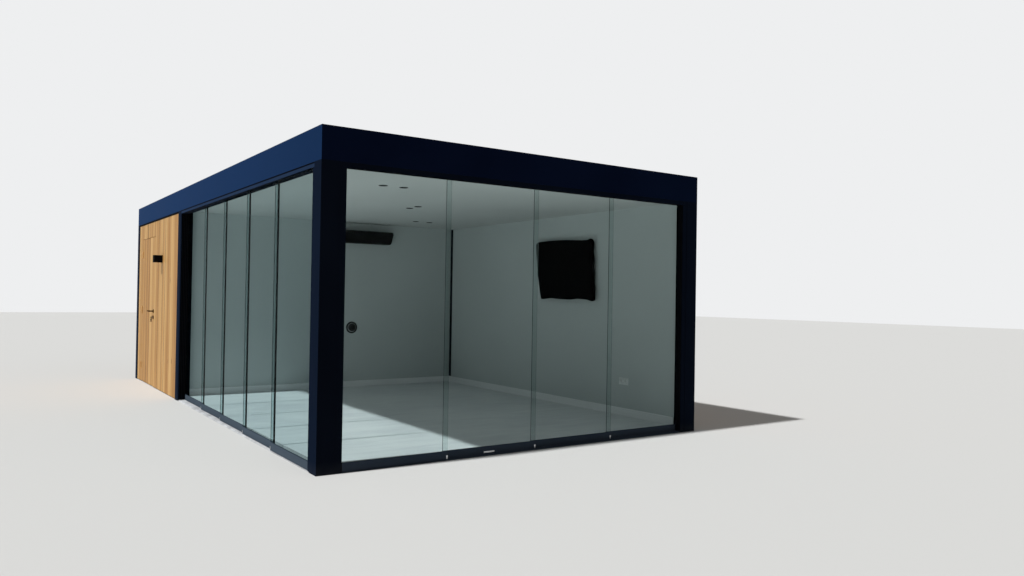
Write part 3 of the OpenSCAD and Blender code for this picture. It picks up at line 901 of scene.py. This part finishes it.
def trimRail(side, k):
    place, isFixed = onSide[side], k == panes[side]
    (start, end), (near, far), (foot, top) = sideBox(side, f"{side}_rail_{k}")
    inset, cap = railTrim["capInset"], railTrim["cap"]
    shape = bmesh.new()
    for capStart in (start - cap, end):
        addBlock(shape, (capStart, near + inset, foot + inset), (capStart + cap, far - inset, top - inset),
                 soft=0.0005, place=place)
    if not isFixed:
        low, high = railTrim["catchRise"]
        addBlock(shape, (end - railTrim["catchWide"], near - railTrim["catchThick"], foot + low),
                 (end, near, foot + high), soft=0.0003, place=place, finish=1)
    if side == "front" and k == 2:
        (left, right), (low, high) = railTrim["plateSpan"], railTrim["plateHigh"]
        face, (inward, radius) = near - railTrim["plateThick"], railTrim["plateScrews"]
        addBlock(shape, (left, face, low), (right, near, high), soft=0.0004, place=place, finish=1)
        for along in (left + inward, right - inward):
            addScrew(shape, (along, face, (low + high) / 2), (0, -1, 0), radius, 1)
    if side == "left" and k > 1:
        addEndSeal(shape, k, top)
    makePiece(shape, f"{side}Trim{k}", [blackFinish, steelFinish, rubberFinish],
              body="pod" if isFixed else f"{side}_panel_{k}")


for side, count in panes.items():
    for k in range(1, count + 1):
        trimRail(side, k)
print("rails trimmed")


# Brush seals in the top tracks and in the channels at the ends of each glass wall
brush = {
    "thick": 0.003,
    "high": 0.006,
    "lead": 0.0055,  # depth of the first channel's outer side
    "pitch": 0.020,
    "channel": 0.018,
    "lift": 2.391,  # height of the top brushes' foot
    "foot": 0.083,
    "mouth": 0.002,  # how far an end brush stands back from its channel's mouth
    "gaps": (0.001, 0.002),  # at the ends of the top brushes, and between them and the end brushes
    "jambs": {"front": (0.06, 0.06), "left": (0.04, 0.03)},
}


def laySeals():
    shape = bmesh.new()
    high, lift, mouth, (endGap, gap) = (brush[key] for key in ("high", "lift", "mouth", "gaps"))
    for side, count in panes.items():
        start, end = sideBox(side, f"{side}_top_track")[0]
        jambs = brush["jambs"][side]
        for k in range(count):
            near = brush["lead"] + k * brush["pitch"]
            far = near + brush["channel"]
            for front, back in ((near, near + brush["thick"]), (far - brush["thick"], far)):
                runs = [(start + endGap, end - endGap, lift, lift + high)]
                for edge, away in ((start + jambs[0], -1), (end - jambs[1], 1)):
                    runs.append((*sorted((edge + away * mouth, edge + away * (mouth + high))), brush["foot"],
                                 lift - gap))
                for left, right, foot, top in runs:
                    addBlock(shape, (left, front, foot), (right, back, top), place=onSide[side])
    makePiece(shape, "brushSeals", [rubberFinish])


# Dark strip between the left top track and the fascia over it: a painted shadow line under the fascia's foot
fasciaShadowStrip = {
    "thick": 0.0015,
    "drop": (0.010, 0.0005),  # its foot and top under the fascia's foot
    "inset": 0.001,  # at its ends
}


def layFasciaShadowStrip():
    (start, end), (near, _), _ = sideBox("left", "left_top_track")
    fasciaFoot = planBox("fascia_left")[0].z
    (foot, top), inset = [fasciaFoot - drop for drop in fasciaShadowStrip["drop"]], fasciaShadowStrip["inset"]
    shape = bmesh.new()
    addBlock(shape, (start + inset, near - fasciaShadowStrip["thick"], foot), (end - inset, near, top), place=onLeft)
    makePiece(shape, "fasciaShadowLine", [stripFinish])


# Black strips that close the gap under the boarding, behind its face
baseStrip = {"back": 0.004, "foot": 0.0005, "lap": 0.002}


def layBaseStrips():
    shape = bmesh.new()
    for side in ("left", "right", "rear"):
        _, (face, back), (foot, _) = sideBox(side, f"{side}_cladding")
        for start, end in boardRuns(side):
            addBlock(shape, (start, face + baseStrip["back"], baseStrip["foot"]),
                     (end, back, foot + baseStrip["lap"]), place=onSide[side])
    makePiece(shape, "baseStrips", [rubberFinish])


laySeals()
layFasciaShadowStrip()
layBaseStrips()
print("seals laid")


# Wall lamp: a frosted lens in each end of the cube, inside a thin ring
wallLamp = {
    "sunk": 0.0045,  # depth of the lenses' rim in the cube
    "lens": [(0, 0.0), (0.026, 0.0008), (0.031, 0.003), (0.0315, 0.0075), (0, 0.0075)],
    "ring": [(0.0318, 0.001), (0.0355, 0.001), (0.0355, 0.0074), (0.0318, 0.0074)],
}


def makeLampLenses():
    low, high = planBox("wall_lamp")
    centre = (low + high) / 2
    ring = wallLamp["ring"]
    shape = bmesh.new()
    for edge, way in ((low.z, 1), (high.z, -1)):
        spot = (centre.x, centre.y, edge + way * wallLamp["sunk"])
        addTurned(shape, wallLamp["lens"], spot, (0, 0, way), 40)
        addTurned(shape, ring + ring[:1], spot, (0, 0, way), 40, 1)
    makePiece(shape, "lampLenses", [lensFinish, lampFinish])


# Downlights: a frosted lens at the bottom of each cup
downlight = {
    "spots": [(1.002, 1.032), (1.218, 1.032), (2.090, 2.397), (2.090, 2.613), (2.941, 4.084), (3.157, 4.084)],
    "lens": [(0, -0.0012), (0.01505, -0.0008), (0.0215, 0.0006), (0.0215, 0.002), (0, 0.002)],
    "rise": 0.014,  # height over the ceiling's face
}


def makeDownlights():
    shape = bmesh.new()
    up = planBox("ceiling")[0].z + downlight["rise"]
    for along, deep in downlight["spots"]:
        addTurned(shape, downlight["lens"], (along, deep, up), (0, 0, 1), 32)
    makePiece(shape, "downlightLenses", [lensFinish])


makeLampLenses()
makeDownlights()
print("lamps fitted")


# Round air valve on the partition, behind the lounge
valve = {"along": 2.380, "up": 0.910, "ring": 0.086, "disc": 0.056}


def makeValve():
    ring, disc = valve["ring"], valve["disc"]
    outer = [(disc + 0.008, 0), (disc + 0.008, 0.006), (disc + 0.012, 0.011), (ring - 0.008, 0.012),
             (ring - 0.002, 0.008), (ring, 0.003), (ring, 0)]
    inner = [(0, 0.021), (disc * 0.5, 0.0205), (disc * 0.85, 0.018), (disc, 0.014), (disc * 0.96, 0.012),
             (0, 0.012)]
    stem, cap = [(0.008, 0), (0.008, 0.012)], [(0, 0.0222), (0.006, 0.0218), (0.009, 0.0204)]
    centre = (valve["along"], planBox("partition")[0].y, valve["up"])
    shape = bmesh.new()
    for profile, steps in ((outer, 64), (inner, 56), (stem, 16), (cap, 24)):
        addTurned(shape, profile, centre, (0, -1, 0), steps)
    makePiece(shape, "airValve", [blackFinish])


# Double socket low on the right wall
socket = {
    "along": 0.94,
    "up": 0.443,
    "wide": 0.152,
    "high": 0.081,
    "thick": 0.004,
    "apart": 0.071,  # from one outlet to the other
    "outlet": (0.030, 0.003, 0.0062),  # half its width, then its back and face
    "cup": [(0.0252, 0.006), (0.0252, 0.0105), (0.0244, 0.0112), (0.0222, 0.0112), (0.0214, 0.0104),
            (0.0208, 0.0066), (0, 0.0066)],
    "hole": [(0, 0.0069), (0.0023, 0.0069), (0.0025, 0.0064)],
    "holesOut": 0.0095,
    "pin": [(0, 0.0108), (0.0016, 0.0102), (0.0022, 0.0092), (0.0022, 0.0066)],
    "pinUp": 0.0115,
}


def makeSocket():
    face = podWide - planBox("right_wall")[0].x
    along, up, (out, back, front) = socket["along"], socket["up"], socket["outlet"]
    half, tall = socket["wide"] / 2, socket["high"] / 2
    shape = bmesh.new()

    def onWall(a, deep, b):
        return onRight(a, face + deep, b)

    addBlock(shape, (along - half, 0, up - tall), (along + half, socket["thick"], up + tall), soft=0.0015,
             place=onWall)
    for side in (-0.5, 0.5):
        spot = along + side * socket["apart"]
        addBlock(shape, (spot - out, back, up - out), (spot + out, front, up + out), soft=0.001, place=onWall)
        turned = [(socket["cup"], spot, up, 40, 0)]
        turned += [(socket["hole"], spot + way * socket["holesOut"], up, 16, 1) for way in (-1, 1)]
        turned += [(socket["pin"], spot, up + socket["pinUp"], 16, 2)]
        for profile, across, height, steps, finish in turned:
            addTurned(shape, profile, onWall(across, 0, height), (-1, 0, 0), steps, finish)
    makePiece(shape, "wallSocket", [whitePlastic, rubberFinish, steelFinish])


makeValve()
makeSocket()
print("wall fittings made")


# Wall unit: a leaning gloss front over a rounded belly, with a flap in its air outlet
airUnit = {
    "brow": (0.174, 0.156, 0.026),  # depth from the wall, height over the foot, radius
    "belly": (0.095, 0.055, 0.055),
    "lean": -25,  # degrees that the front faces below level
    "slotTurn": -52,
    "slotWide": 0.048,
    "slotDeep": 0.014,
    "cheek": 0.045,
    "round": 0.014,
    "rings": (0, 0.0006, 0.002, 0.0045, 0.008),  # metres from an end, where its rounding is drawn
    "gloss": (0.0014, 0.002, 0.004, 0.012),  # front panel: thickness, then gaps at its top, foot and ends
    "flap": [(0, 1), (0.004, 0.55), (0.0048, 0), (0.004, -0.55), (0, -1), (-0.0022, -0.9), (-0.0022, 0.9)],
    "flapIn": 0.006,
    "flapGap": (0.0015, 0.003),  # beside the slot's long edges and at its ends
    "slats": 26,
    "slatWide": 0.4,  # share of their pitch
    "slatInset": 0.04,  # from the unit's ends to the first and last
    "slatDepths": (0.15, 0.03),  # from the wall
    "slatSpan": (0.0008, 0.0001),  # foot and top of a slat under the unit's top
}


def arcOf(circle, start, end, steps):
    deep, up, radius = circle
    turns = [radians(start + (end - start) * i / steps) for i in range(steps + 1)]
    return [(deep + radius * cos(t), up + radius * sin(t)) for t in turns]


# Outward and along the front of the unit, for an angle in degrees
def waysAt(angle):
    turn = radians(angle)
    return Vector((cos(turn), sin(turn))), Vector((-sin(turn), cos(turn)))


# The unit's section, whole or with the slot of its air outlet
def airSection(isSlotted):
    low, high = planBox("air_unit")
    belly, lean = airUnit["belly"], airUnit["lean"]
    line = [(0, high.z - low.z)] + arcOf(airUnit["brow"], 90, lean, 9)
    if not isSlotted:
        return line + arcOf(belly, lean, -90, 12) + [(0, 0)]
    edge, wide = airUnit["slotTurn"], airUnit["slotWide"] / 2
    out, across = waysAt(edge)
    half = degrees(asin(wide / belly[2]))
    deep = belly[2] - airUnit["slotDeep"]
    inner = [tuple(Vector(belly[:2]) + out * deep + across * wide * way) for way in (1, -1)]
    joint, lip = (arcOf(belly, turn, turn, 1)[:1] for turn in (lean, edge + half))
    return line + joint + lip + inner + arcOf(belly, edge - half, -90, 3) + [(0, 0)]


def makeAirUnit():
    low, high = planBox("air_unit")
    wall, tall = high.y, high.z - low.z
    start, end, cheek, curve = low.x, high.x, airUnit["cheek"], airUnit["round"]
    shape = bmesh.new()

    # The corners are rounded as seen from the front
    def ringAt(along, section):
        reach = min(along - start, end - along)
        trim = 0 if reach >= curve else curve - sqrt(max(0, curve**2 - (curve - reach) ** 2))
        return [Vector((along, wall - deep, low.z + trim + up * (tall - 2 * trim) / tall))
                for deep, up in section]

    def onUnit(a, b, along):
        return Vector((along, wall - a, low.z + b))

    whole, slotted = airSection(False), airSection(True)
    spots = [*airUnit["rings"], curve, cheek]
    addLoft(shape, [ringAt(start + spot, whole) for spot in spots])
    addLoft(shape, [ringAt(end - spot, whole) for spot in spots])
    addLoft(shape, [ringAt(start + cheek, slotted), ringAt(end - cheek, slotted)])

    # The gloss panel lies on the leaning front
    lean = airUnit["lean"]
    top, foot = (Vector(arcOf(airUnit[key], lean, lean, 1)[0]) for key in ("brow", "belly"))
    thick, *gaps, inset = airUnit["gloss"]
    proud, along = waysAt(lean)[0] * thick, (foot - top).normalized()
    first, last = top + along * gaps[0], foot - along * gaps[1]
    addPrism(shape, [first, first + proud, last + proud, last], start + inset, end - inset, onUnit)

    # The flap closes the outlet
    out, across = waysAt(airUnit["slotTurn"])
    hub = Vector(airUnit["belly"][:2])
    gap, endGap = airUnit["flapGap"]
    half = airUnit["slotWide"] / 2 - gap
    deep = airUnit["belly"][2] - airUnit["flapIn"]
    flap = [hub + out * (deep + rise) + across * half * share for rise, share in airUnit["flap"]]
    addPrism(shape, flap, start + cheek + endGap, end - cheek - endGap, onUnit)

    # Slats of the inlet, on top
    inset = airUnit["slatInset"]
    pitch = (end - start - 2 * inset) / airUnit["slats"]
    front, back = (wall - deep for deep in airUnit["slatDepths"])
    foot, top = (high.z - drop for drop in airUnit["slatSpan"])
    for i in range(airUnit["slats"]):
        spot = start + inset + i * pitch
        addBlock(shape, (spot, front, foot), (spot + pitch * airUnit["slatWide"], back, top), finish=1)
    makePiece(shape, "airUnit", [glossFinish, rubberFinish], stands=["air_unit"])


makeAirUnit()
print("wall unit made")


# Covered screen: a flat screen on a wall plate, under a loose woven cover
screen = {
    "outline": [(0, 0), (0.008, 0.34), (0.019, 0.64), (0.03, 0.82), (0.03, 0.93), (0.05, 0.985),
                (0.10, 0.968), (0.19, 0.967), (0.46, 0.992), (0.70, 1), (0.95, 0.99), (1, 0.95),
                (0.996, 0.775), (0.97, 0.47), (0.935, 0.24), (0.892, 0.015), (0.73, 0.029), (0.56, 0.016),
                (0.37, 0.011), (0.256, 0.026), (0.10, 0.016)],
    "wide": 1.158,
    "wall": 4.020,  # depth of the wall's face from the pod's left side
    "front": 3.935,
    "back": 3.992,  # where the cover's skirt ends
    "skirt": 0.06,
    "centre": (0.48, 0.5),  # shares of its width and height
    "panel": (0.060, 1.006, 0.100, 0.722),  # near, far, foot and top of the screen inside the cover
    "panelIn": 0.012,  # how far it stands behind the cover
    # The screen, its thicker back and its glass: places from its near foot and far top, soft edge and finish
    "shells": [
        ((0, 0, 0), (0.026, 0, 0), 0.003, 0),
        ((0.0255, 0.12, 0.06), (0.048, -0.12, -0.16), 0.008, 0),
        ((-0.0004, 0.012, 0.018), (0, -0.012, -0.012), 0, 1),
    ],
    "plate": (0.003, 0.2, 0.1),  # thickness, and half its width and height
    "arm": (0.046, 0.015, 0.16),  # depth, and half its width and height
    "armOut": 0.15,
    "screws": (0.18, 0.07, 0.005),  # how far out and up from the plate's middle, and their radius
    "steps": 7,  # points between two corners of the outline
    "rings": 16,
    "crowding": 0.8,  # under 1, the rings lie closer together towards the edge
    "corner": 0.45,  # how much of the smooth curve the outline follows, from 0 for straight lines to 1
    "fold": 0.007,
    "hem": (0.93, 0.006),  # where the face starts to rise to its edge, and by how much
    "pinch": (0.020, 0.4, 1.2),  # how far the skirt draws in, from what share of its depth, and how steeply
    "skirtIn": 0.002,
    "skirtReach": 0.9,  # share of the way to the wall
    "gathers": (0.004, 34),  # depth and closeness of the small folds along the skirt
    "skirtRings": (0.28, 0.5, 0.75, 1.0),  # shares of the way back to the wall
    "swell": (2.1, 1.2, 3.0, 0.6),  # noise: its scale along and up, its layer, and its size
    "sway": (1.7, 2.3, 8.0, 2.2),
    "creases": (9, 3, 5.0, 0.25),
    "ripple": (6, 3, 1.0, 0.003),
    "drape": (21, 5, 0.35),  # slanting folds: how close along and up, and their size
    "drapeFoot": 0.35,  # share of them left at the foot
}


def smoothOutline(points, steps):
    line = []
    count = len(points)
    for i in range(count):
        a, b, c, d = (Vector(points[(i + j - 1) % count]) for j in range(4))
        for j in range(steps):
            t = j / steps
            curved = 0.5 * (2 * b + (c - a) * t + (2 * a - 5 * b + 4 * c - d) * t**2
                            + (3 * b - a - 3 * c + d) * t**3)
            line.append(b.lerp(c, t).lerp(curved, screen["corner"]))
    return line


def waver(key, along, up):
    wide, high, layer, size = screen[key]
    return noise.noise(Vector((along * wide, up * high, layer))) * size


# How far out the cover's folds stand, from 0 to 1
def foldAt(along, up):
    (close, slant, size), least = screen["drape"], screen["drapeFoot"]
    drape = sin(along * close + up * slant + waver("sway", along, up)) * size
    total = waver("swell", along, up) + drape * (least + (1 - least) * up) + waver("creases", along, up)
    return 0.5 + 0.5 * max(-1, min(1, total))


def makeScreenCover():
    low, high = planBox("wall_screen")
    near, foot, tall = low.y, low.z, high.z - low.z
    front, fold, rings = screen["front"], screen["fold"], screen["rings"]
    depth = screen["back"] - front
    edge = smoothOutline([(a * screen["wide"], b * tall) for a, b in screen["outline"]], screen["steps"])
    centre = Vector((screen["wide"] * screen["centre"][0], tall * screen["centre"][1]))
    run = [0.0]
    for a, b in zip(edge, edge[1:] + edge[:1]):
        run.append(run[-1] + (b - a).length)
    lines, maps = [], []
    hemStart, hemRise = screen["hem"]
    for j in range(1, rings + 1):
        share = (j / rings) ** screen["crowding"]
        ring = [centre + (point - centre) * share for point in edge]
        hem = hemRise * max(0, (share - hemStart) / (1 - hemStart)) ** 2
        lines.append([Vector((front + fold * foldAt(p.x, p.y / tall) + hem, near + p.x, foot + p.y))
                      for p in ring])
        maps.append([Vector((p.x, p.y)) for p in ring])
    (pinch, pinchStart, steepness), (gather, close) = screen["pinch"], screen["gathers"]
    for back in screen["skirtRings"]:
        ring = []
        deep = front + hemRise + depth * back * screen["skirtReach"]
        for i, point in enumerate(edge):
            ripple = gather * sin(run[i] * close) * back + waver("ripple", run[i], back)
            inward = pinch * max(0, back - pinchStart) ** steepness + ripple + screen["skirtIn"]
            spot = point + (centre - point).normalized() * inward
            ring.append(Vector((deep, near + spot.x, foot + spot.y)))
        lines.append(ring)
        maps.append([Vector((run[i], 2 + depth * back)) for i in range(len(edge))])
    shape = bmesh.new()
    sheet = shape.loops.layers.uv.new("clothMap")
    middle = shape.verts.new((front + fold * foldAt(centre.x, 0.5), near + centre.x, foot + centre.y))
    verts = [[shape.verts.new(point) for point in ring] for ring in lines]

    def addFace(corners, spots):
        for loop, spot in zip(shape.faces.new(corners).loops, spots):
            loop[sheet].uv = spot

    for i in range(len(edge)):
        k = (i + 1) % len(edge)
        addFace((middle, verts[0][i], verts[0][k]), (centre, maps[0][i], maps[0][k]))
        for j in range(len(verts) - 1):
            addFace(*[(rows[j][i], rows[j + 1][i], rows[j + 1][k], rows[j][k]) for rows in (verts, maps)])
    area = sum(face.calc_area() for face in shape.faces)
    cover = makePiece(shape, "screenCover", [coverFinish], stands=["wall_screen"],
                      sharp=70)


# The screen, then the wall plate with two arms and four screws
def makeScreenBody():
    low, high = planBox("wall_screen")
    near, far, foot, top = (a + b for a, b in zip(screen["panel"], (low.y, low.y, low.z, low.z)))
    front, wall = screen["front"] + screen["panelIn"], screen["wall"]
    middle, height = (near + far) / 2, (low.z + high.z) / 2
    thick, wide, tall = screen["plate"]
    deep, slim, long = screen["arm"]
    shape = bmesh.new()
    for start, end, soft, finish in screen["shells"]:
        addBlock(shape, [a + b for a, b in zip((front, near, foot), start)],
                 [a + b for a, b in zip((front, far, top), end)], soft, finish=finish)
    addBlock(shape, (wall - thick, middle - wide, height - tall), (wall, middle + wide, height + tall),
             soft=0.001, finish=2)
    for arm in (middle - screen["armOut"], middle + screen["armOut"]):
        addBlock(shape, (front + deep, arm - slim, height - long), (wall - thick, arm + slim, height + long),
                 soft=0.001, finish=2)
    out, lift, radius = screen["screws"]
    for side, way in ((-1, -1), (-1, 1), (1, -1), (1, 1)):
        addScrew(shape, (wall - thick, middle + side * out, height + way * lift), (-1, 0, 0), radius, 2)
    makePiece(shape, "screenBody", [blackFinish, glossFinish, frameFinish],
              stands=["wall_screen"])


makeScreenBody()
makeScreenCover()
print("screen covered")


# Lapped seams across the roof sheet
roof = {
    "seams": (1.58, 3.16, 4.74, 6.32),
    "lap": 0.05,
    "thick": 0.0014,
    "edge": (0.004, 0.6),  # width of its slope, and where that starts as a share of the thickness
    "sunk": 0.0005,
    "surface": 0.004,  # the sheet's thickness, and how far a seam stops short of the upstands
}


def laySeams():
    low, high = planBox("roof_membrane")
    lap, thick, clear = roof["lap"], roof["thick"], roof["surface"]
    (slope, share), sunk = roof["edge"], roof["sunk"]
    section = [(-lap, -sunk), (-lap, thick * share), (-lap + slope, thick), (lap - slope, thick),
               (lap, thick * share), (lap, -sunk)]
    shape = bmesh.new()
    for along in roof["seams"]:
        addPrism(shape, section, low.x + clear, high.x - clear,
                 lambda a, b, t: Vector((t, along + a, low.z + clear + b)))
    makePiece(shape, "roofSeams", [membraneFinish])


laySeams()
print("roof seamed")


# Studio: a pale floor, an even pale surround and two large soft lamps
studio = {
    "floorColour": (214, 214, 212),
    "floorSide": 90.0,
    "floorDrop": 0.001,  # under the ground
    "surround": (238, 239, 240),
    "dayStrength": 0.17,
    "lamps": [
        {"name": "keyLamp", "from": (-1.0, 0.04, 1.5), "power": 3.25, "softness": 2},
        {"name": "fillLamp", "from": (0.5, -1.0, 0.7), "power": 0.15, "softness": 40},
    ],
}


def layStudioFloor():
    material = startFinish("studioFloor", Base_Color=paint(studio["floorColour"]), Roughness=0.9,
                           Specular_IOR_Level=0.1)[0]
    shape = bmesh.new()
    bmesh.ops.create_grid(shape, x_segments=1, y_segments=1, size=studio["floorSide"] / 2)
    floor = addMesh(shape, "studioFloor", [material])
    floor.location.z = -studio["floorDrop"]


# The camera, reflections and views through glass see the pale surround. Everything else gets the daylight.
def lightStudio():
    world = bpy.data.worlds.new("studioDay")
    bpy.context.scene.world = world
    world.use_nodes = True
    day = world.node_tree.nodes["Background"]
    day.inputs["Color"].default_value = (1, 1, 1, 1)
    day.inputs["Strength"].default_value = studio["dayStrength"]
    pale = put(day, "Background", {"Color": paint(studio["surround"]), "Strength": 1.0})
    path = put(day, "LightPath").node.outputs
    isSeen = reckon("MAXIMUM", path["Is Camera Ray"], path["Is Glossy Ray"])
    isSeen = reckon("MAXIMUM", isSeen, path["Is Transmission Ray"])
    mixed = mixShaders(isSeen, day.outputs[0], pale)
    join(mixed, world.node_tree.nodes["World Output"].inputs["Surface"])
    for lamp in studio["lamps"]:
        light = bpy.data.lights.new(lamp["name"], "SUN")
        light.energy = lamp["power"]
        light.angle = radians(lamp["softness"])
        holder = addObject(lamp["name"], light)
        holder.rotation_euler = Vector(lamp["from"]).to_track_quat("Z", "Y").to_euler()
        holder.visible_glossy = False


layStudioFloor()
lightStudio()
bpy.context.scene.view_settings.view_transform = "Standard"
print("studio lit")
